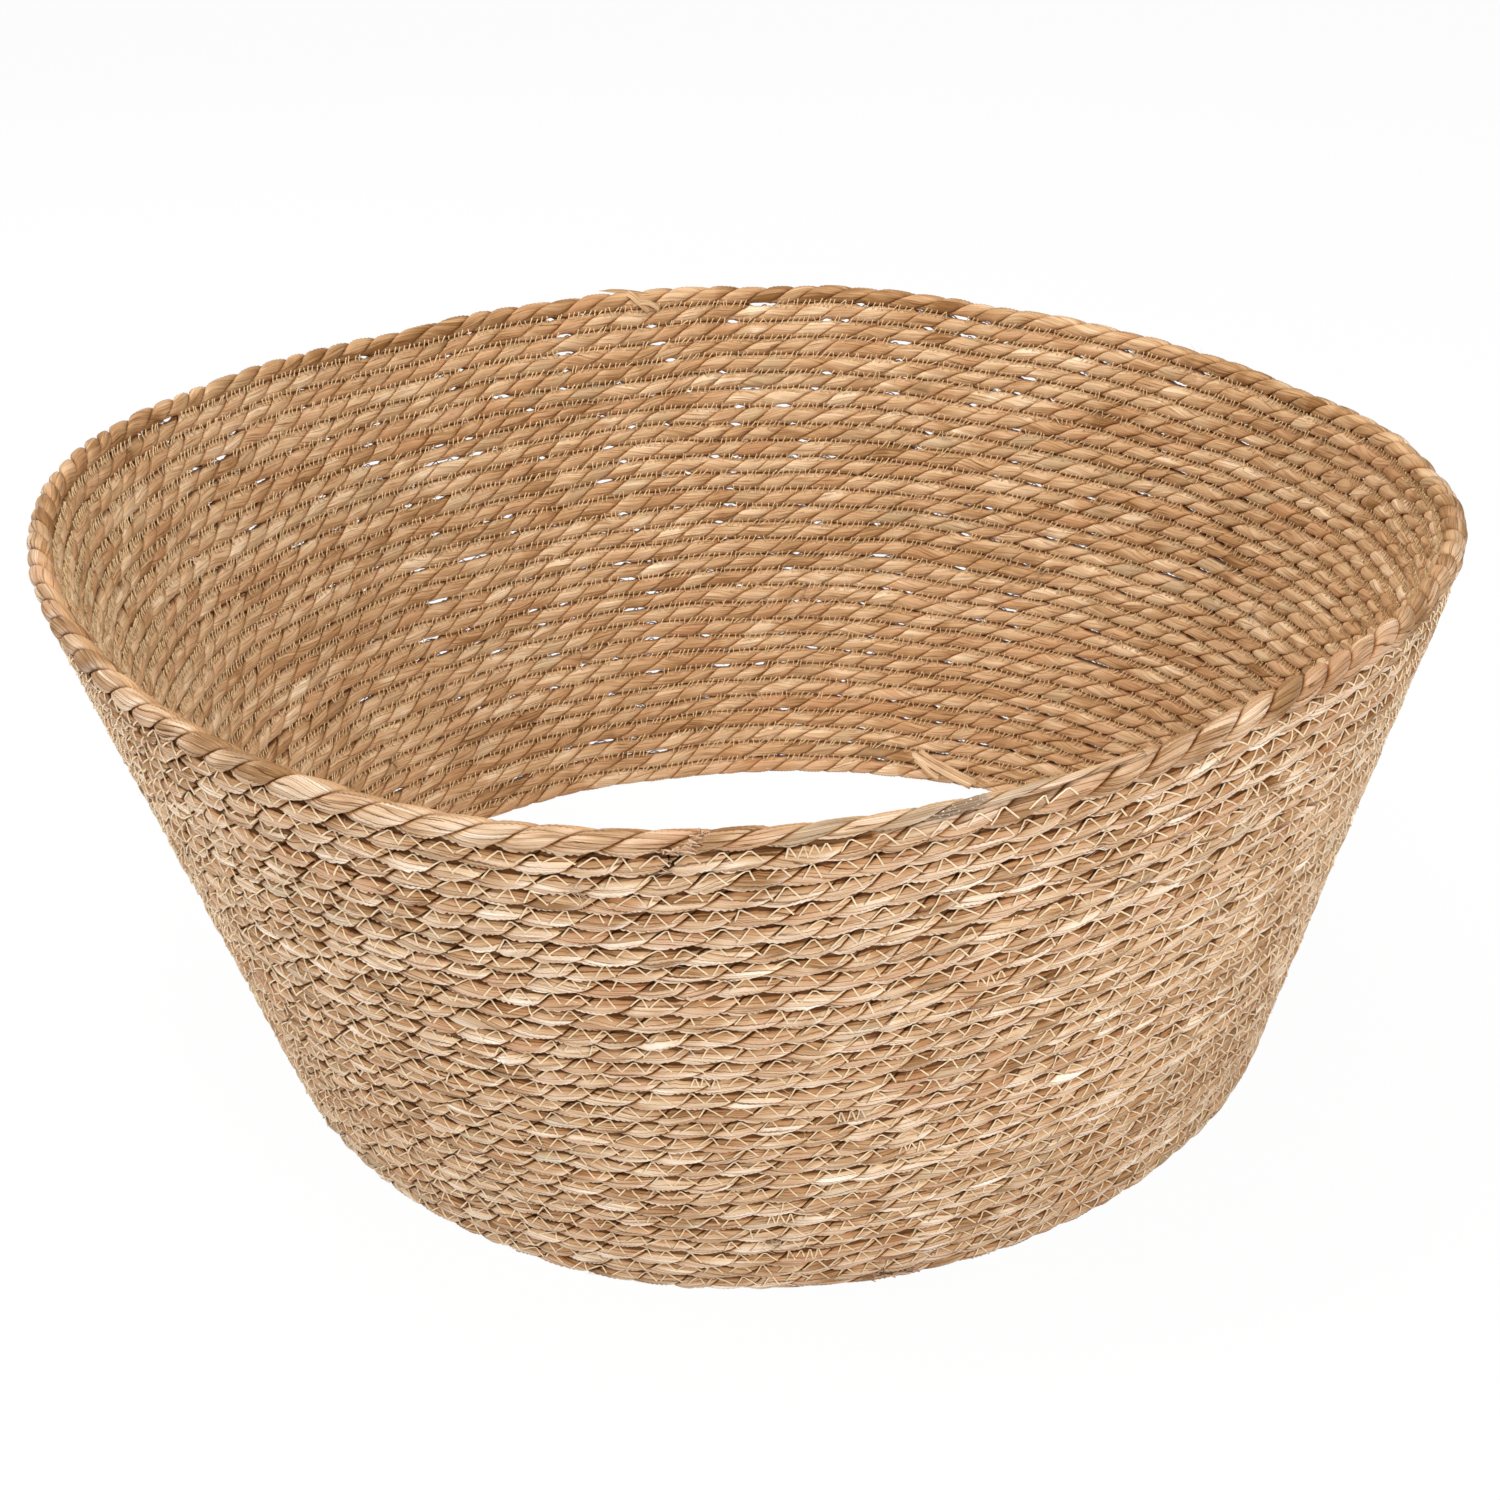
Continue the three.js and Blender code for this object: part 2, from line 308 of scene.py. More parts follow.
class Winding:
    """Where the rope runs: the flared wall, its rows, and the twist of the rope along them."""

    def __init__(self, sizes):
        self.sizes = sizes
        self.half_rope = sizes.rope / 2
        steps = np.arange(STEPS) / STEPS
        foot_r, foot_z, rim_r, rim_z = self.line(self.angle(steps))
        self.side = float(np.hypot(rim_r - foot_r, rim_z - foot_z).min())
        self.last_row = round(self.side / sizes.rope)
        self.pitch = self.side / self.last_row
        self.half_row = (self.pitch - sizes.row_gap) / 2
        half_climb = CLIMB / 2 / STEPS
        self.first = -half_climb
        self.last = self.last_row + 1 - half_climb
        self.centre = np.zeros(3)
        corner_turns = np.arange(self.first, self.last + 0.5 / STEPS, 1 / STEPS)
        corners = self.point(corner_turns, self.middle(corner_turns)[0], self.half_rope)
        self.centre = (corners.min(0) + corners.max(0)) / 2 * np.array([1, 1, 0])
        count = int((self.last + 0.2) * sizes.samples)
        self.turns = np.linspace(self.first - half_climb, self.last + half_climb, count)
        track = self.point(self.turns, self.middle(self.turns)[0], 0)
        lengths = np.linalg.norm(np.diff(track, axis=0), axis=1)
        self.arc = np.concatenate([[0], np.cumsum(lengths)])
        self.twist = 2 * np.pi * self.arc / sizes.lay + swings(self.arc, TWIST_SWINGS) + TWIST_START
        self.swell = [SWELL + swings(self.arc, SWELL_SWINGS, seed) for seed in PLY_SEEDS]
        free_top = self.turns > self.last - 1
        self.notch = [np.where(free_top, 1, np.clip(0.45 + smooth_noise(self.arc / 0.05, seed + 3), 0, 1))
                      for seed in PLY_SEEDS]

    def angle(self, turn):
        """Direction of a turn from the middle."""
        return math.radians(START) + 2 * np.pi * turn

    def line(self, theta):
        """Radius and height of the wall's middle at the foot row and at the rim row."""
        def ripple(waves):
            return sum(h * np.cos(n * (theta - math.radians(crest))) for n, h, crest in waves)
        sizes = self.sizes
        foot_r = (sizes.foot_diameter - sizes.rope) / 2 + ripple(FOOT_WAVES)
        rim_r = (sizes.rim_diameter - sizes.rope) / 2 + ripple(RIM_WAVES)
        foot_z = sizes.rope / 2 - sizes.foot_flat + 0 * theta
        rim_z = sizes.height - sizes.rope / 2 + ripple(RIM_LIFTS)
        return foot_r, foot_z, rim_r, rim_z

    def point(self, turn, along, out):
        """A place on the wall: so far round, so far up the shortest side, and so far out of the wall."""
        theta = self.angle(turn)
        foot_r, foot_z, rim_r, rim_z = self.line(theta)
        slope_r = rim_r - foot_r
        slope_z = rim_z - foot_z
        slant = np.hypot(slope_r, slope_z)
        share = along / self.side
        radius = foot_r + slope_r * share + slope_z / slant * out
        height = foot_z + slope_z * share - slope_r / slant * out
        spot = np.stack([radius * np.cos(theta), radius * np.sin(theta), height], axis=-1)
        return spot - self.centre

    def outward(self, turn, along):
        """Unit direction out of the wall."""
        step = self.point(turn, along, 1 * MM) - self.point(turn, along, 0)
        return step / np.linalg.norm(step, axis=-1, keepdims=True)

    def row(self, turn):
        """The row that a turn has reached, level for most of it and then one row up."""
        whole = np.floor(turn + 1e-9)
        share = CLIMB / STEPS
        climbed = np.clip((turn - whole - (1 - share)) / share, 0, 1)
        return whole + climbed * climbed * (3 - 2 * climbed)

    def middle(self, turn):
        """Middle of the rope up the wall, and how much of its height it has there."""
        level = self.row(turn) * self.pitch
        low = np.maximum(level - self.half_row, -self.half_row)
        high = np.minimum(level + self.half_row, self.last_row * self.pitch + self.half_row)
        return (low + high) / 2, (high - low) / (2 * self.half_row)

    def cuts(self):
        """The turns at which one length of rope ends and the next begins, counted down from the rim."""
        first = -CLIMB // 2
        last = (self.last_row + 1) * STEPS - CLIMB // 2
        rim_start = last - RIM_LENGTH
        count = max(1, round((rim_start - first) / LENGTH))
        joints = [rim_start - n * LENGTH for n in range(count)][::-1]
        cuts = np.array([first] + joints + [last]) / STEPS
        cuts[-2] += RIM_JOINT_SHIFT
        return cuts

    def arc_at(self, turn):
        """Length of rope up to a turn."""
        return np.interp(turn, self.turns, self.arc)

    def turn_at(self, arc):
        """The turn that a length of rope reaches."""
        return np.interp(arc, self.arc, self.turns)

    def wobble(self, turn):
        """How far hand laying lifts a row off its level."""
        lift = sum(height * np.cos(2 * np.pi * waves * turn + 2.5 * smooth_noise(turn / 3.1, seed))
                   for waves, height, seed in WOBBLE)
        return lift * np.clip((turn - self.first) / 0.5, 0, 1) * np.clip((self.last - turn) / 0.5, 0, 1)

    def reach(self, turn, direction):
        """How far the rope reaches from its middle at a turn, in one direction round it."""
        twist = np.interp(turn, self.turns, self.twist)
        local = (direction - twist + np.pi / 2) % (2 * np.pi) - np.pi / 2
        second = local > np.pi / 2
        local = np.where(second, local - np.pi, local)
        swell, notch = (np.where(second, *(np.interp(turn, self.turns, table) for table in tables[::-1]))
                        for tables in (self.swell, self.notch))
        notch = notch * notch_share(direction)
        full, notched = (np.interp(local, PLY_ANGLES, shares) for shares in (PLY_FULL, PLY_NOTCHED))
        return self.half_rope * swell * (full * (1 - notch) + notched * notch)

    def opening(self, turn):
        """Height of the opening between a row and the next one up."""
        spacing, threshold, sharp, height = OPENINGS
        arc = self.arc_at(turn)
        chance = swings(arc, ((1, spacing, 51), (0.15, 0.13, 52)))
        return height * np.clip((chance - threshold) / (1 - threshold) / sharp, 0, 1)

    def skin(self, turn, along):
        """How far the nearest row stands out of the wall's middle at a place on it."""
        base = self.row(turn % 1)
        row = np.clip(np.round(along / self.pitch - base) + base, 0, self.last_row + 0.3)
        from_row = along - row * self.pitch
        return np.sqrt(np.maximum((1.09 * self.half_rope) ** 2 - from_row ** 2, (0.4 * self.half_rope) ** 2))

    def room(self, turn, side):
        """Share of the usual space to the next row, up for 1 or down for -1, and where the rows press."""
        space = 1 + side * (self.wobble(turn + side) - self.wobble(turn)) / self.pitch
        own = self.reach(turn, side * np.pi / 2)
        other = self.reach(turn + side, -side * np.pi / 2)
        pressed = np.where(own + other > self.pitch, self.pitch * own / (own + other), 2 * self.pitch)
        gap = np.maximum(self.pitch - own - other, 0)
        closed = np.minimum(gap, 1.6 * MM) + 0.04 * MM
        space = space * np.where(gap > 0, 1 + closed / 2 / own, 1)
        opened = self.opening(np.where(side > 0, turn, turn - 1))
        pressed = np.where(opened > 0, np.minimum(pressed, (self.pitch - opened) / 2), pressed)
        beyond = (turn + side < self.first) | (turn + side > self.last)
        return np.where(beyond, 1, space), np.where(beyond, 2 * self.pitch, pressed * space)


# Meshes

def new_piece(name, points, faces, material):
    """A smooth mesh object in place, from its points and its lists of faces with as many corners each."""
    mesh = bpy.data.meshes.new(name)
    points = np.asarray(points, dtype=np.float32).reshape(-1, 3)
    mesh.vertices.add(len(points))
    mesh.vertices.foreach_set("co", points.ravel())
    corners = np.concatenate([np.asarray(f, dtype=np.int32).ravel() for f in faces])
    counts = np.concatenate([np.full(len(f), len(f[0]), dtype=np.int32) for f in faces])
    mesh.loops.add(len(corners))
    mesh.loops.foreach_set("vertex_index", corners)
    mesh.polygons.add(len(counts))
    mesh.polygons.foreach_set("loop_start", np.concatenate([[0], np.cumsum(counts)[:-1]]).astype(np.int32))
    mesh.polygons.foreach_set("use_smooth", np.full(len(counts), True))
    mesh.update(calc_edges=True)
    mesh.validate()
    mesh.materials.append(material)
    piece = bpy.data.objects.new(name, mesh)
    bpy.context.scene.collection.objects.link(piece)
    return piece


def leaf_piece(name, points, faces, material, fibre, strand, lie):
    """A piece of seagrass, with the values that its material reads at each point.

    Fibre is the place across and along the leaf and its seed; strand is tone, hue, painted shade of the
    creases and bleached lip; lie is the direction out of the wall and up it, and whether a row lies above."""
    piece = new_piece(name, points, faces, material)
    for title, kind, key, values in (("fibre", "FLOAT_VECTOR", "vector", fibre),
                                     ("strand", "FLOAT_COLOR", "color", strand),
                                     ("lie", "FLOAT_VECTOR", "vector", lie)):
        attribute = piece.data.attributes.new(title, kind, "POINT")
        attribute.data.foreach_set(key, np.asarray(values, dtype=np.float32).ravel())
    return piece


def together(*columns):
    """Values side by side for each point."""
    return np.stack(np.broadcast_arrays(*columns), axis=-1)


def tube_faces(rings, sides, first=0):
    """Sides and ends of one closed tube whose sections follow each other."""
    ring = np.arange(rings - 1)[:, None] * sides
    side = np.arange(sides)[None, :]
    here = first + ring + side
    beside = first + ring + (side + 1) % sides
    quads = np.stack([here, here + sides, beside + sides, beside], axis=-1).reshape(-1, 4)
    start = first + np.arange(sides)
    end = first + (rings - 1) * sides + np.arange(sides)[::-1]
    return quads, np.stack([start, end])


def row_of_tubes(number, rings, sides):
    """Sides and ends of some tubes that follow each other in the list of points."""
    tubes = [tube_faces(rings, sides, tube * rings * sides) for tube in range(number)]
    return [np.concatenate(faces) for faces in zip(*tubes)]


def cross_directions(path, outward):
    """Unit directions across a path and off it, on the side that looks out of the wall."""
    forward = np.gradient(path, axis=-2)
    forward /= np.linalg.norm(forward, axis=-1, keepdims=True) + 1e-12
    across = np.cross(forward, outward)
    across /= np.linalg.norm(across, axis=-1, keepdims=True) + 1e-12
    return across, np.cross(across, forward)


def many_tubes(paths, outward, radius, sides):
    """Points and faces of many thin tubes at once, along paths of as many points each."""
    count, length, _ = paths.shape
    across, lift = cross_directions(paths, outward)
    turn = np.arange(sides) * 2 * np.pi / sides
    ring = across[:, :, None, :] * np.cos(turn)[:, None] + lift[:, :, None, :] * np.sin(turn)[:, None]
    radius = np.broadcast_to(radius, (count, length))[:, :, None, None]
    quads, ends = tube_faces(length, sides)
    shift = np.arange(count)[:, None, None] * length * sides
    faces = [(quads + shift).reshape(-1, 4), (ends + shift).reshape(-1, sides)]
    return paths[:, :, None, :] + ring * radius, faces


# Materials

def opaque(colour):
    """A colour as the nodes take it."""
    return *colour, 1


class Finish:
    """The nodes of a material or of the room, and short ways to add to them."""

    def __init__(self, owner):
        owner.use_nodes = True
        self.nodes = owner.node_tree.nodes
        self.links = owner.node_tree.links

    def fill(self, node, values):
        """Gives a node's inputs numbers, colours, or what other nodes give."""
        for name, value in values.items():
            if isinstance(value, bpy.types.NodeSocket):
                self.links.new(value, node.inputs[name])
            else:
                node.inputs[name].default_value = value

    def add(self, kind, values, **settings):
        """What a new node gives, with its inputs and its settings."""
        node = self.nodes.new("ShaderNode" + kind)
        for name, setting in settings.items():
            setattr(node, name, setting)
        self.fill(node, values)
        return node.outputs

    def read(self, name):
        """What a piece holds under a name at each point."""
        return self.add("Attribute", {}, attribute_name=name)

    def apart(self, source):
        """The three numbers of a place."""
        return self.add("SeparateXYZ", {"Vector": source})

    def calc(self, operation, *values, clamp=False):
        """A sum on numbers or nodes."""
        return self.add("Math", dict(enumerate(values)), operation=operation, use_clamp=clamp)["Value"]

    def noise(self, source, scale, detail, rough=0.6):
        """A noise stretched by scale along its source's axes."""
        place = self.add("Mapping", {"Vector": source, "Scale": scale})["Vector"]
        values = {"Vector": place, "Scale": 1.0, "Detail": detail, "Roughness": rough}
        return self.add("TexNoise", values)["Fac"]

    def ramp(self, source, *stops):
        """A colour ramp: places from 0 to 1 and their colours."""
        node = self.nodes.new("ShaderNodeValToRGB")
        elements = node.color_ramp.elements
        while len(elements) < len(stops):
            elements.new(0.5)
        for element, (place, colour) in zip(elements, stops):
            element.position = place
            element.color = opaque(colour)
        self.fill(node, {"Fac": source})
        return node.outputs["Color"]

    def mix(self, share, a, b, blend="MIX"):
        """Colour a with a share of colour b."""
        return self.add("Mix", {0: share, 6: a, 7: b}, data_type="RGBA", blend_type=blend)[2]

    def bump(self, height, strength, distance):
        """Fine relief."""
        return self.add("Bump", {"Height": height, "Strength": strength, "Distance": distance})["Normal"]

    def seen(self):
        """1 where the camera looks straight, or in a gloss or a glass."""
        rays = self.add("LightPath", {})
        straight = self.calc("MAXIMUM", rays["Is Camera Ray"], rays["Is Glossy Ray"])
        return self.calc("MAXIMUM", straight, rays["Is Transmission Ray"])

    def show(self, share, usual, white, output):
        """Shows a share of plain white, and the usual surface for the rest."""
        both = self.add("MixShader", {0: share, 1: usual, 2: white})["Shader"]
        self.fill(self.nodes[output], {"Surface": both})


def new_material(name):
    """A plain material, its nodes and its shader."""
    material = bpy.data.materials.new(name)
    finish = Finish(material)
    return material, finish, finish.nodes["Principled BSDF"]


def seagrass_material(colours):
    """Dry leaf twisted into plies: narrow strips of several tones, fibres, bleached lips, painted shade in
    the creases and seams, a painted shadow under each row, and a pale lower edge that is partly painted
    highlight.
    """
    name = "seagrass_leaf"
    if name in bpy.data.materials:
        return bpy.data.materials[name]
    material, finish, shader = new_material(name)
    calc, noise, ramp, mix = finish.calc, finish.noise, finish.ramp, finish.mix

    def times(a, b):
        return calc("MULTIPLY", a, b)

    def larger(a, b):
        return calc("MAXIMUM", a, b)

    def line(source, gain, start):
        return calc("MULTIPLY_ADD", source, gain, start)

    def rise(source, gain, start):
        return calc("MULTIPLY_ADD", source, gain, start, clamp=True)

    def swing(source, amount):
        return line(source, 2 * amount, -amount)

    fibre = finish.read("fibre")["Vector"]
    across, along, seed = finish.apart(fibre)
    strand = finish.read("strand")
    tone, hue, dark = finish.add("SeparateColor", {"Color": strand["Color"]})
    # Where a point of the rope looks, from 0 straight out of the wall, and whether a row lies above it
    out, up, covered = finish.apart(finish.read("lie")["Vector"])
    facing = calc("ARCTAN2", up, out)
    outside = rise(calc("COSINE", facing), 0.9, 0.5)

    # Strips of leaf, each with its own tone along it, streaks and hairs
    wander = noise(fibre, (0.24, 0.014, 1.0), 2.0)
    strip_place = line(across, 0.52, times(wander, 3.4))
    across_strip = calc("FRACT", strip_place)
    strip = times(calc("FLOOR", strip_place), 3.7)
    own = finish.add("CombineXYZ", {"X": strip, "Y": times(along, 0.024), "Z": seed})["Vector"]
    strip_tone = noise(own, (1, 1, 1), 1.0)
    streaks = noise(fibre, (1.35, 0.04, 1.0), 3.0)
    hairs = noise(fibre, (3.6, 0.08, 1.0), 2.0)
    specks = noise(fibre, (1.1, 0.7, 1.0), 3.0, rough=0.7)
    grain = calc("ADD", swing(strip_tone, 0.74), swing(streaks, 0.5))
    grain = calc("ADD", grain, swing(hairs, 0.40))
    value = rise(grain, line(outside, 0.35, 0.6), tone)
    colour = ramp(value, (0.0, colours.brown), (0.33, colours.tan), (0.62, colours.straw),
                  (1.0, colours.pale))

    # Reddish, weathered and glued leaves
    colour = mix(rise(hue, 1.8, -1.12), colour, opaque(colours.orange))
    colour = mix(rise(hue, -2.2, 0.66), colour, opaque(colours.grey))
    colour = mix(calc("MULTIPLY", hue, -1.6, clamp=True), colour, (0.27, 0.185, 0.12, 1))

    # Bleached along the lapping edge and, in spells, where the ply hangs over the row below: a pale band on
    # the lower edge that is partly bleached leaf and partly painted highlight
    below = calc("DIVIDE", calc("ADD", facing, 0.76), 0.17)
    lower_edge_bleach_and_highlight = calc("EXPONENT", times(times(below, below), -1.0))
    spell = rise(noise(fibre, (0.02, 0.036, 1.0), 1.0), 3.2, -0.85)
    lip = times(strand["Alpha"], line(outside, 0.72, 0.08))
    wear_and_highlight = larger(times(lower_edge_bleach_and_highlight, spell), lip)
    wear_and_highlight = times(wear_and_highlight, line(covered, 0.55, 0.45))
    patchy = calc("MULTIPLY", streaks, 1.6, clamp=True)
    colour = mix(times(wear_and_highlight, patchy), colour, opaque(colours.pale))

    # Dark joints between the strips, creases and spots
    joint = ramp(across_strip, (0.05, (0.24, 0.15, 0.085)), (0.17, (0.94, 0.92, 0.9)), (0.8, WHITE),
                 (0.97, (0.9, 0.86, 0.8)))
    colour = mix(line(outside, 0.55, 0.35), colour, joint, "MULTIPLY")
    crease = ramp(streaks, (0.34, (0.42, 0.32, 0.23)), (0.42, WHITE))
    colour = mix(0.7, colour, crease, "MULTIPLY")
    spots = ramp(specks, (0.29, (0.5, 0.40, 0.30)), (0.35, WHITE))
    colour = mix(0.6, colour, spots, "MULTIPLY")

    # Painted shade: brown towards the seams between the rows, a painted shadow under the row above, and
    # painted shade where the plies meet
    # Painted shade that deepens towards the seam on each side of a row
    groove = rise(calc("ABSOLUTE", up), 6.7, -5.7)
    groove = times(groove, larger(covered, calc("LESS_THAN", up, 0.0)))
    groove = times(groove, line(outside, 0.72, 0.21))
    # Painted shadow under the row above: a narrow dark band, and a soft gradient over the upper part of the
    # row
    under_row_shadow = larger(rise(facing, 6.0, -4.2), rise(facing, 0.72, -0.05))
    under_row_shadow = times(under_row_shadow, times(outside, covered))
    # The strand's dark value paints shade into the crease where the plies meet
    crevice_shade = larger(rise(dark, 2.0, -0.75), times(dark, 0.35))
    crevice_shade = times(crevice_shade, line(outside, 0.58, 0.35))
    crevice_shade = times(crevice_shade, line(covered, 0.3, 0.7))
    shade = larger(larger(crevice_shade, groove), times(under_row_shadow, 0.9))
    # Colours of the painted shade, from none to the deepest
    painted_shade_colour = ramp(shade, (0.0, WHITE), (0.25, (0.87, 0.76, 0.62)), (0.5, (0.66, 0.45, 0.26)),
                (1.0, (0.085, 0.030, 0.005)))
    colour = mix(1.0, colour, painted_shade_colour, "MULTIPLY")
    warmth = ramp(outside, (0.1, colours.inside), (0.45, WHITE))
    colour = mix(1.0, colour, warmth, "MULTIPLY")

    # Blobs of glue
    blob = ramp(specks, (0.60, (0, 0, 0)), (0.66, WHITE))
    colour = mix(times(rise(hue, -4.0, -1.0), blob), colour, (0.93, 0.91, 0.86, 1))

    height = line(across_strip, 0.55, line(hairs, 0.35, streaks))
    finish.fill(shader, {
        "Base Color": colour,
        "Roughness": line(streaks, 0.25, 0.50),
        "Specular IOR Level": 0.15,
        "Specular Tint": (1.0, 0.8, 0.55, 1),
        "Normal": finish.bump(height, 0.75, 0.38 * MM),
    })
    return material


def thread_material(name, colour, dark):
    """Spun sewing thread: a soft tone along it and a fine fuzz."""
    material, finish, shader = new_material(name)
    place = finish.add("TexCoord", {})["Object"]
    tone = finish.noise(place, (90, 90, 90), 2.0)
    fuzz = finish.noise(place, (2600, 2600, 2600), 2.0)
    shade = finish.ramp(tone, (0.3, tuple(c * dark for c in colour)), (0.62, colour))
    grain = finish.ramp(fuzz, (0.3, (0.72, 0.66, 0.6)), (0.6, WHITE))
    finish.fill(shader, {
        "Base Color": finish.mix(0.6, shade, grain, "MULTIPLY"),
        "Roughness": 0.7,
        "Specular IOR Level": 0.3,
        "Normal": finish.bump(fuzz, 0.5, 0.08 * MM),
    })
    return material


def floor_material(colour):
    """White studio floor that keeps a faint shadow."""
    material, finish, shader = new_material("studio_floor")
    finish.fill(shader, {"Base Color": opaque(colour), "Roughness": 0.9, "Specular IOR Level": 0.0})
    white = finish.add("Emission", {"Color": opaque(WHITE)})["Emission"]
    share = finish.calc("MULTIPLY", finish.seen(), WHITE_SHARE)
    finish.show(share, shader.outputs["BSDF"], white, "Material Output")
    return material


# Rope

def ply_rings(winding, turns, number, blunt):
    """Sections of one ply between two turns, with the values that its material reads.

    Blunt tells whether the first and the last section are cut ends, which are pinched and ragged."""
    half_rope = winding.half_rope
    seed = PLY_SEEDS[number]
    arc = winding.arc_at(turns)[:, None]
    twist, swell, notch = (np.interp(turns, winding.turns, table)[:, None]
                           for table in (winding.twist, winding.swell[number], winding.notch[number]))
    twist = twist + number * np.pi
    pinch = np.zeros_like(arc)
    for cut, distance in zip(blunt, (arc - arc[0], arc[-1] - arc)):
        if cut:
            pinch = pinch + np.clip(1 - distance / CUT_LENGTH, 0, 1) ** 2

    # The ply's section, as a share of the rope's radius in each direction
    breadth = 1 + 0.10 * smooth_noise(arc / 0.027, 16) * (1 - 2 * number)
    outer_angle = PLY_ANGLES * breadth
    direction = outer_angle + twist
    width = PLY_ANGLES * half_rope
    fibre_across = np.append(width, width[-1] + 3 * MM) + FIBRE_SLANT * arc
    ridges = sum(height * smooth_noise_2d(fibre_across / wide, arc / long, seed + own)
                 for height, wide, long, own in RIDGES)
    lean, spread, share_of_lean = OVERHANG
    aside = (direction - lean + np.pi) % (2 * np.pi) - np.pi
    overhang = share_of_lean * np.exp(-(aside / spread) ** 2) * np.cos(PLY_ANGLES * 0.95) ** 2
    free_top = (turns > winding.last - 1)[:, None]
    notch = notch * np.where(free_top, RIM_NOTCH, notch_share(direction))
    section = PLY_FULL * (1 - notch) + PLY_NOTCHED * notch
    falling = ROUND_INSIDE * np.sin(2 * direction) ** 2 * np.clip(-2 * np.cos(direction), 0, 1)
    swell = swell * (1 - CUT_PINCH * pinch)
    radius = half_rope * section * swell * (1 + ridges[:, :-1] + overhang - falling)

    # The section turned by the twist, then pressed between its neighbours
    inner = PLY_INNER * half_rope * np.ones_like(arc)
    radial = np.concatenate([radius * np.cos(outer_angle), inner], axis=1)
    tangent = np.concatenate([radius * np.sin(outer_angle), 0 * arc], axis=1)
    out = radial * np.cos(twist) - tangent * np.sin(twist)
    up_free = radial * np.sin(twist) + tangent * np.cos(twist)
    above, below = ([column[:, None] for column in winding.room(turns, side)] for side in (1, -1))
    up = up_free * np.where(up_free > 0, above[0], below[0])
    limit = np.where(up > 0, above[1], below[1]) * 1.015
    kept = 0.94 * limit
    spare = limit - kept
    over = np.maximum(np.abs(up) - kept, 0)
    pressed = np.where(np.abs(up) > kept, np.sign(up) * (kept + spare * np.tanh(over / spare)), up)
    middle, share = winding.middle(turns)
    middle = (middle + winding.wobble(turns))[:, None]
    share = np.maximum(share, TAIL_HEIGHT)[:, None]
    drift = 0.35 * MM * smooth_noise(arc / 0.21, 31)
    ragged = np.random.default_rng(71 + number).uniform(-1, 1, len(PLY_SHADE)) * pinch
    ragged = ragged * CUT_RAGGED / (np.pi * winding.sizes.rim_diameter)
    points = winding.point(turns[:, None] + ragged, middle + pressed * share, out * np.sqrt(share) + drift)
    points[..., 2] = np.maximum(points[..., 2], 0.0)

    # What the material reads
    covered = (turns + 1 < winding.last)[:, None]
    outside = np.clip(0.5 + 0.9 * np.cos(np.arctan2(up, out)), 0, 1)
    tone = swings(arc, TONE_SWINGS, seed) + 0.05 * smooth_noise(arc / 0.9, 8)
    tone = LEAF_TONE + tone * (0.75 + 0.15 * outside) + 0.025 * outside
    # The open rim's leaf is darkened as painted shade
    tone = tone + 0.13 * smooth_noise(arc / 0.065, 15) * (1 - outside) - np.where(covered, 0, RIM_PAINTED_SHADE)
    tone = tone - DARK_LEAF * np.clip((smooth_noise(arc / 0.017, seed + 17) - 0.55) / 0.2, 0, 1)
    glued_ply, glued_from, glued_to = GLUED_LEAF
    from_end = (turns - winding.last)[:, None]
    glued = np.clip(np.minimum(from_end - glued_from, glued_to - from_end) / 0.002, 0, 1)
    glued = glued * (number == glued_ply)
    hue = LEAF_HUE + swings(arc, HUE_SWINGS, seed)
    hue = hue * (1 - glued) + GLUED_HUE * glued
    lip = PLY_LIP * np.clip(0.35 + 0.8 * smooth_noise(arc / 0.04, seed + 14), 0, 1)
    return (points, together(fibre_across / MM, arc / MM, seed), together(tone, hue, PLY_SHADE, lip),
            together(out / half_rope, up_free / (winding.pitch / 2), covered))


class COLLAR_OT_rope(bpy.types.Operator):
    """Lay every length of twisted rope along the winding, from the foot to the rim"""

    bl_idname = "collar.rope"
    bl_label = "Rope"

    def execute(self, context):
        winding = Winding(context.scene.collar_sizes)
        material = seagrass_material(context.scene.collar_colours)
        cuts = winding.cuts()
        gap = JOINT_GAP / (np.pi * winding.sizes.foot_diameter)
        tail = TAIL * CLIMB / STEPS
        for number in range(1, len(cuts)):
            first = number == 1
            last = number == len(cuts) - 1
            node = "foot_rope" if first else "rim_rope" if last else f"wall_rope_{number}"
            start = cuts[number - 1] + (-tail if first else gap)
            end = cuts[number] + (tail if last else -gap)
            turns = np.linspace(start, end, int((end - start) * winding.sizes.samples))
            plies = [ply_rings(winding, turns, ply, (not first, not last)) for ply in (0, 1)]
            points, fibre, strand, lie = (np.stack(column) for column in zip(*plies))
            faces = row_of_tubes(2, len(turns), len(PLY_SHADE))
            piece = leaf_piece("twisted_" + node, points, faces, material, fibre, strand, lie)
            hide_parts(node)
            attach(piece, "root")
        return {"FINISHED"}


# Sewing

def stitch_places(winding, random, end, spacing, wander):
    """Lengths of rope up to the middle of each stitch, from the sewing's start to a turn."""
    start = winding.arc_at(winding.first + SEWN_FROM)
    count = int((winding.arc_at(end) - start) / spacing)
    return start + (np.arange(count) + 0.5) * spacing + random.normal(0, wander, count)


def stitch_pieces(name, paths, outward, radius, sides, material):
    """A line of stitches, in two pieces of about as many."""
    halves = (slice(len(paths) // 2), slice(len(paths) // 2, None))
    return [new_piece(f"{name}_{number}", *many_tubes(paths[half], outward[half], radius, sides), material)
            for number, half in enumerate(halves, 1)]


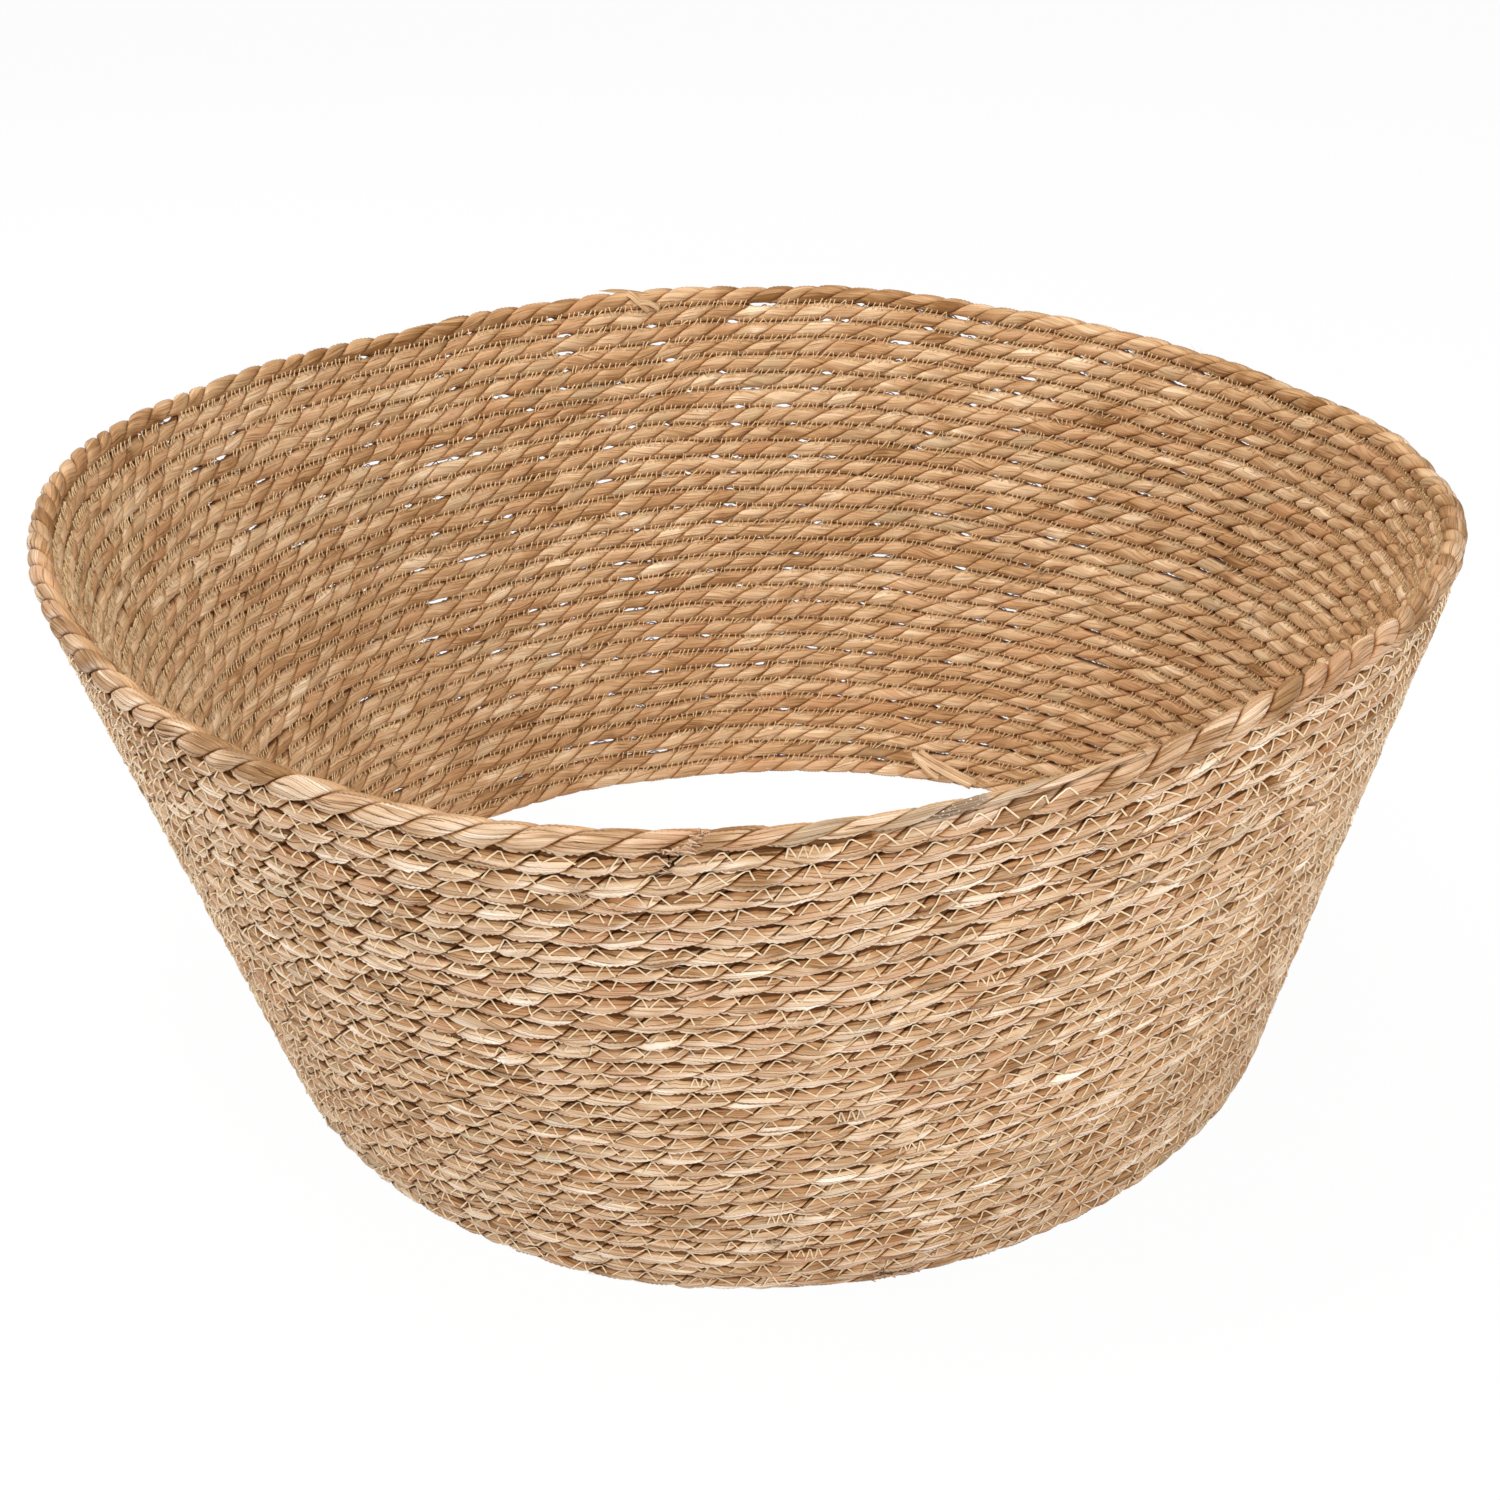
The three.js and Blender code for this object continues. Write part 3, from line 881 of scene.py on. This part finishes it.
class COLLAR_OT_needle_thread(bpy.types.Operator):
    """Sew the zigzag on the outside, from each groove down to the middle of the row below"""

    bl_idname = "collar.needle_thread"
    bl_label = "Needle thread"

    def execute(self, context):
        sizes = context.scene.collar_sizes
        winding = Winding(sizes)
        material = thread_material("needle_thread", context.scene.collar_colours.needle, 0.8)
        random = np.random.default_rng(41)
        wander, widening, leaning = ZIGZAG_SPREAD
        arcs = stitch_places(winding, random, winding.last - 1 + NEEDLE_END, sizes.stitch, wander)
        half = sizes.stitch_width / 2 + random.normal(0, widening, len(arcs))
        for turn, number in BAR_TACKS:
            tacks = winding.arc_at(turn) + np.arange(number) * TACK_SPACING
            clear = (arcs < tacks[0] - TACK_CLEAR) | (arcs > tacks[-1] + TACK_CLEAR)
            arcs = np.append(arcs[clear], tacks)
            half = np.append(half[clear], np.full(number, TACK_HALF))
        count = len(arcs)
        half = half[:, None]
        lean = random.normal(0, leaning, count)[:, None] * half
        foot = np.radians(random.normal(*ZIGZAG_FOOT, count))[:, None]
        turns = winding.turn_at(arcs[:, None] + ZIGZAG_ALONG * half + lean * ZIGZAG_RISE)
        direction = foot + (np.radians(ZIGZAG_TOP) - foot) * ZIGZAG_RISE
        radius = np.maximum(winding.reach(turns, direction), winding.half_rope * 1.06) + sizes.thread * 0.40
        radius[:, [0, -1]] -= ZIGZAG_SUNK
        up = radius * np.sin(direction)
        out = radius * np.cos(direction)
        top = ZIGZAG_RISE == 1
        up[:, top] = winding.pitch / 2 - ZIGZAG_GROOVE[0]
        out[:, top] = ZIGZAG_GROOVE[1] * winding.half_rope
        along = winding.row(turns) * winding.pitch + winding.wobble(turns) + up
        paths = winding.point(turns, along, out)
        paths[..., 2] = np.maximum(paths[..., 2], THREAD_LIFT)
        outward = winding.outward(turns, along)
        for number, piece in enumerate(
                stitch_pieces("needle_stitches", paths, outward, sizes.thread / 2, 4, material)):
            if number == 0:
                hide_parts("needle_thread")
            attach(piece, "root")
        return {"FINISHED"}


class COLLAR_OT_bobbin_thread(bpy.types.Operator):
    """Lay the locking thread along the grooves inside, tucked under at each stitch"""

    bl_idname = "collar.bobbin_thread"
    bl_label = "Bobbin thread"

    def execute(self, context):
        sizes = context.scene.collar_sizes
        winding = Winding(sizes)
        material = thread_material("bobbin_thread", context.scene.collar_colours.bobbin, 0.7)
        random = np.random.default_rng(43)
        arcs = stitch_places(winding, random, winding.last - 1 + BOBBIN_END, sizes.tick, TICK_WANDER)
        count = len(arcs)
        shut = winding.opening(winding.turn_at(arcs)) < TICK_OPENING
        reach = random.normal(*TICK_REACH, count)[:, None]
        slant = random.normal(*TICK_SLANT, count)[:, None]
        turns = winding.turn_at(arcs[:, None] - TICK_RISE * slant)
        along = (winding.row(turns) + 0.5) * winding.pitch + TICK_RISE * reach
        along = along + (winding.wobble(turns) + winding.wobble(turns + 1)) / 2
        out = -TICK_DEPTH * winding.half_rope - random.normal(*TICK_PULL, count)[:, None]
        paths = winding.point(turns, along, out)[shut]
        paths[..., 2] = np.maximum(paths[..., 2], THREAD_LIFT)
        outward = winding.outward(turns, along)[shut]
        for number, piece in enumerate(
                stitch_pieces("bobbin_stitches", paths, outward, sizes.thread * 0.52, 3, material)):
            if number == 0:
                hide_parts("bobbin_thread")
            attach(piece, "root")
        return {"FINISHED"}


# Loose ends

def grow_fibres(winding, random, turn, along, out, length, heading, lift, thick, tone, hue):
    """Points, faces and values of thin fibres that leave the rope at one end and taper to the other."""
    step = np.linspace(0, 1, 5)[None, :]
    count = len(turn)
    run = length[:, None] * step
    curl = random.normal(0, 0.25, count)[:, None] * run * step
    cos, sin = np.cos(heading)[:, None], np.sin(heading)[:, None]
    turns = turn[:, None] + (run * cos - curl * sin) / (np.pi * winding.sizes.foot_diameter)
    rise = run * sin + curl * cos
    side = np.sign(out)[:, None]
    paths = winding.point(turns, along[:, None] + rise, out[:, None] + side * lift[:, None] * step ** 1.6)
    paths[..., 2] = np.maximum(paths[..., 2], 0.3 * MM)
    outward = winding.outward(turns, along[:, None] + rise)
    points, faces = many_tubes(paths, outward, thick[:, None] * (1 - 0.65 * step), 3)
    shape = points.shape[:3]
    across = np.broadcast_to(random.uniform(0, 400, count)[:, None, None], shape)
    fibre = together(across, (run / MM)[:, :, None], 0)
    values = together(tone + random.normal(0, 0.15, count), hue + random.normal(0, 0.14, count), 0 * turn,
                      random.uniform(0.1, 0.7, count) * (hue < BLEACHED_BELOW))
    strand = np.broadcast_to(values[:, None, None, :], (*shape, 4))
    lie = np.broadcast_to(side[:, :, None, None] * np.array([1, 0, 0]), points.shape)
    return points, faces, fibre, strand, lie


def hairs(winding, random, count):
    """Short hairs all over, inside and out."""
    turn = random.uniform(0, winding.last_row, count)
    direction = np.where(random.random(count) < 0.5, 0, np.pi) + random.normal(0, 0.6, count)
    length = random.gamma(3, 1.9 * MM, count)
    lift = np.abs(random.normal(0, 0.9 * MM, count))
    return from_rope(winding, random, turn, direction, length, lift,
                     random.uniform(0.06, 0.13, count) * MM, 0.6)


def bristles(winding, random, turn, count):
    """Bristles round a cut end of the rope."""
    turns = turn + random.normal(0, 1.2 * MM, count) / (np.pi * winding.sizes.foot_diameter)
    direction = random.uniform(-np.pi, np.pi, count)
    length = random.uniform(2.5, 8, count) * MM
    lift = np.abs(random.normal(0, 0.8 * MM, count))
    return from_rope(winding, random, turns, direction, length, lift,
                     random.uniform(0.08, 0.17, count) * MM, 0.3)


def from_rope(winding, random, turn, direction, length, lift, thick, spread):
    """Fibres that leave the rope's surface along it, either way."""
    count = len(turn)
    reach = winding.reach(turn, direction) - 0.25 * MM
    along = winding.row(turn) * winding.pitch + winding.wobble(turn) + reach * np.sin(direction)
    heading = random.normal(0, spread, count) + np.where(random.random(count) < 0.5, 0, np.pi)
    return turn, along, reach * np.cos(direction), length, heading, lift, thick, FIBRE_TONE, FIBRE_HUE


def tuft(winding, random, turn, row, spread_along, spread_across, count, length, thick, side):
    """A tuft of broken leaf on one spot of the wall."""
    turns = turn + random.normal(0, spread_along * MM / 2, count) / (np.pi * winding.sizes.rim_diameter)
    along = row * winding.pitch + random.normal(0, spread_across * MM, count)
    out = side * (winding.skin(turns, along) + random.uniform(-0.4, 0.3, count) * MM)
    heading = random.normal(0.6, 0.9, count)
    lift = np.abs(random.normal(0, 0.25, count)) * length * MM
    lengths = length * MM * random.uniform(0.6, 1.3, count)
    return (turns, along, out, lengths, heading, lift, thick * MM * random.uniform(0.7, 1.2, count),
            FIBRE_TONE, FIBRE_HUE)


def stubs(winding, random, turn, row, last_turn, last_row, count):
    """Short stubs of cut leaf along a slanted line over one row."""
    share = np.linspace(0, 1, count)
    spread = random.normal(0, 0.5 * MM, count) / (np.pi * winding.sizes.rim_diameter)
    turns = turn + (last_turn - turn) * share + spread
    along = (row + (last_row - row) * share) * winding.pitch + random.normal(0, 0.6 * MM, count)
    out = winding.skin(turns, along) - 0.2 * MM
    length = random.uniform(1.8, 3.4, count) * MM
    heading = np.clip(random.normal(0.9, 0.8, count), 0.2, 2.4)
    lift = random.uniform(0.7, 1.8, count) * MM
    return (turns, along, out, length, heading, lift, random.uniform(0.4, 0.65, count) * MM,
            STUB_TONE, STUB_HUE)


class COLLAR_OT_loose_fibres(bpy.types.Operator):
    """Scatter the loose fibres, and fray the rope where its lengths end"""

    bl_idname = "collar.loose_fibres"
    bl_label = "Loose fibres"

    def execute(self, context):
        winding = Winding(context.scene.collar_sizes)
        random = np.random.default_rng(91)
        groups = [hairs(winding, random, HAIRS)]
        groups += [bristles(winding, random, turn, BRISTLES) for turn in winding.cuts()[1:-1]]
        groups += [tuft(winding, random, *fray) for fray in FRAYS]
        groups += [stubs(winding, random, *comb) for comb in COMBS]
        groups = [np.broadcast_arrays(*group) for group in groups]
        columns = [np.concatenate(column) for column in zip(*groups)]
        points, faces, *values = grow_fibres(winding, random, *columns)
        material = seagrass_material(context.scene.collar_colours)
        piece = leaf_piece("loose_fibres", points, faces, material, *values)
        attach(piece, "root")
        return {"FINISHED"}


class COLLAR_OT_leaf_ends(bpy.types.Operator):
    """Hang the flat ends of leaf inside the foot and at the back of the rim"""

    bl_idname = "collar.leaf_ends"
    bl_label = "Leaf ends"

    def execute(self, context):
        winding = Winding(context.scene.collar_sizes)
        material = seagrass_material(context.scene.collar_colours)
        step = np.linspace(0, 1, LEAF_END_RINGS)
        around = np.arange(LEAF_END_SIDES) * 2 * np.pi / LEAF_END_SIDES
        cos, sin = np.cos(around), np.sin(around)
        points, fibre, strand = [], [], []
        for number, (width, thick, tone, hue, *path) in enumerate(LEAF_ENDS):
            knots = np.linspace(0, 1, len(path))
            turn, row, out = (np.interp(step, knots, column) for column in np.array(path).T)
            for column in (turn, row, out):
                column[1:-1] = (column[:-2] + 2 * column[1:-1] + column[2:]) / 4
            middle = winding.point(turn, row * winding.pitch, out * MM)
            across, lift = cross_directions(middle, winding.outward(turn, row * winding.pitch))
            taper = np.clip((1 - step) / 0.25, 0.12, 1) if thick < POINTED_BELOW else np.ones_like(step)
            ripple = 1 + 0.16 * smooth_noise_2d(around[None, :] * 1.6, step[:, None] * 5, 200 + number)
            sideways = cos * width / 2 * MM
            height = (sin * thick / 2 * ripple - cos ** 2 * width * 0.12) * MM
            ring = across[:, None, :] * sideways[:, None] + lift[:, None, :] * height[..., None]
            spots = middle[:, None, :] + ring * taper[:, None, None]
            spots[..., 2] = np.maximum(spots[..., 2], 0.1 * MM)
            run = np.concatenate([[0], np.cumsum(np.linalg.norm(np.diff(middle, axis=0), axis=1))])[:, None]
            # Painted shade along the leaf end's two curled edges
            dark = np.clip(0.5 * (np.abs(cos) - 0.85) / 0.15, 0, 1)
            points.append(spots)
            fibre.append(together(cos * width / 2 + 40 * number, run / MM, 7))
            strand.append(together(tone, hue, dark + 0 * run, 0.25))
        faces = row_of_tubes(len(LEAF_ENDS), LEAF_END_RINGS, LEAF_END_SIDES)
        lie = np.broadcast_to((-1, 0, 0), np.shape(points))
        piece = leaf_piece("leaf_ends", points, faces, material, fibre, strand, lie)
        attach(piece, "root")
        return {"FINISHED"}


# Stage

def light_room(scene):
    """Even light from a room that looks white, and the lamps."""
    world = bpy.data.worlds.new("soft_room")
    scene.world = world
    finish = Finish(world)
    room = finish.nodes["Background"]
    finish.fill(room, {"Color": opaque(WHITE), "Strength": ROOM_LIGHT})
    white = finish.add("Background", {"Color": opaque(WHITE), "Strength": 1.0})["Background"]
    finish.show(finish.seen(), room.outputs["Background"], white, "World Output")
    for name, (place, size, power) in LAMPS.items():
        lamp = bpy.data.lights.new(name, "AREA")
        lamp.size = size
        lamp.energy = power
        holder = bpy.data.objects.new(name, lamp)
        holder.location = place
        aim = Vector(LAMP_TARGET) - Vector(place)
        holder.rotation_euler = aim.to_track_quat("-Z", "Y").to_euler()
        scene.collection.objects.link(holder)


def place_camera(scene, target):
    """The camera at the fitted angle and distance."""
    camera = bpy.data.cameras.new("camera")
    camera.lens = CAMERA_LENS
    camera.sensor_width = CAMERA_SENSOR
    camera.shift_x, camera.shift_y = CAMERA_SHIFT
    back = Vector((0, -math.cos(CAMERA_ELEVATION), math.sin(CAMERA_ELEVATION)))
    turn = (-back).to_track_quat("-Z", "Y").to_matrix() @ Matrix.Rotation(-CAMERA_ROLL, 3, "Z")
    viewer = bpy.data.objects.new("camera", camera)
    viewer.matrix_world = Matrix.Translation(target + back * CAMERA_DISTANCE) @ turn.to_4x4()
    scene.collection.objects.link(viewer)
    scene.camera = viewer


class COLLAR_OT_stage(bpy.types.Operator):
    """Set the floor, the soft lights and the camera"""

    bl_idname = "collar.stage"
    bl_label = "Stage"

    def execute(self, context):
        scene = context.scene
        bpy.ops.object.select_all(action="DESELECT")
        bpy.ops.mesh.primitive_plane_add(size=FLOOR_SIZE, location=(0, 0, 0))
        floor = context.object
        floor.name = "studio_floor"
        floor.data.materials.append(floor_material(tuple(scene.collar_colours.floor)))
        scene.view_settings.view_transform = "Standard"
        light_room(scene)
        place_camera(scene, Vector(-Winding(scene.collar_sizes).centre))
        return {"FINISHED"}


class COLLAR_PT_panel(bpy.types.Panel):
    """Lists the collar's pieces and sizes"""

    bl_idname = "COLLAR_PT_panel"
    bl_label = "Seagrass Collar"
    bl_space_type = "VIEW_3D"
    bl_region_type = "UI"
    bl_category = "Collar"

    def draw(self, context):
        layout = self.layout
        for operator in OPERATORS:
            layout.operator(operator.bl_idname)
        for group in (context.scene.collar_sizes, context.scene.collar_colours):
            for name in group.__annotations__:
                layout.prop(group, name)


OPERATORS = (COLLAR_OT_stage, COLLAR_OT_rope, COLLAR_OT_needle_thread, COLLAR_OT_bobbin_thread,
             COLLAR_OT_loose_fibres, COLLAR_OT_leaf_ends)
CLASSES = (CollarSizes, CollarColours, *OPERATORS, COLLAR_PT_panel)


def register():
    for cls in CLASSES:
        bpy.utils.register_class(cls)
    bpy.types.Scene.collar_sizes = PointerProperty(type=CollarSizes)
    bpy.types.Scene.collar_colours = PointerProperty(type=CollarColours)


def unregister():
    del bpy.types.Scene.collar_colours
    del bpy.types.Scene.collar_sizes
    for cls in reversed(CLASSES):
        bpy.utils.unregister_class(cls)


def main():
    register()
    bpy.ops.collar.stage()
    bpy.ops.collar.rope()
    bpy.ops.collar.needle_thread()
    bpy.ops.collar.bobbin_thread()
    bpy.ops.collar.loose_fibres()
    bpy.ops.collar.leaf_ends()


if __name__ == "__main__":
    main()
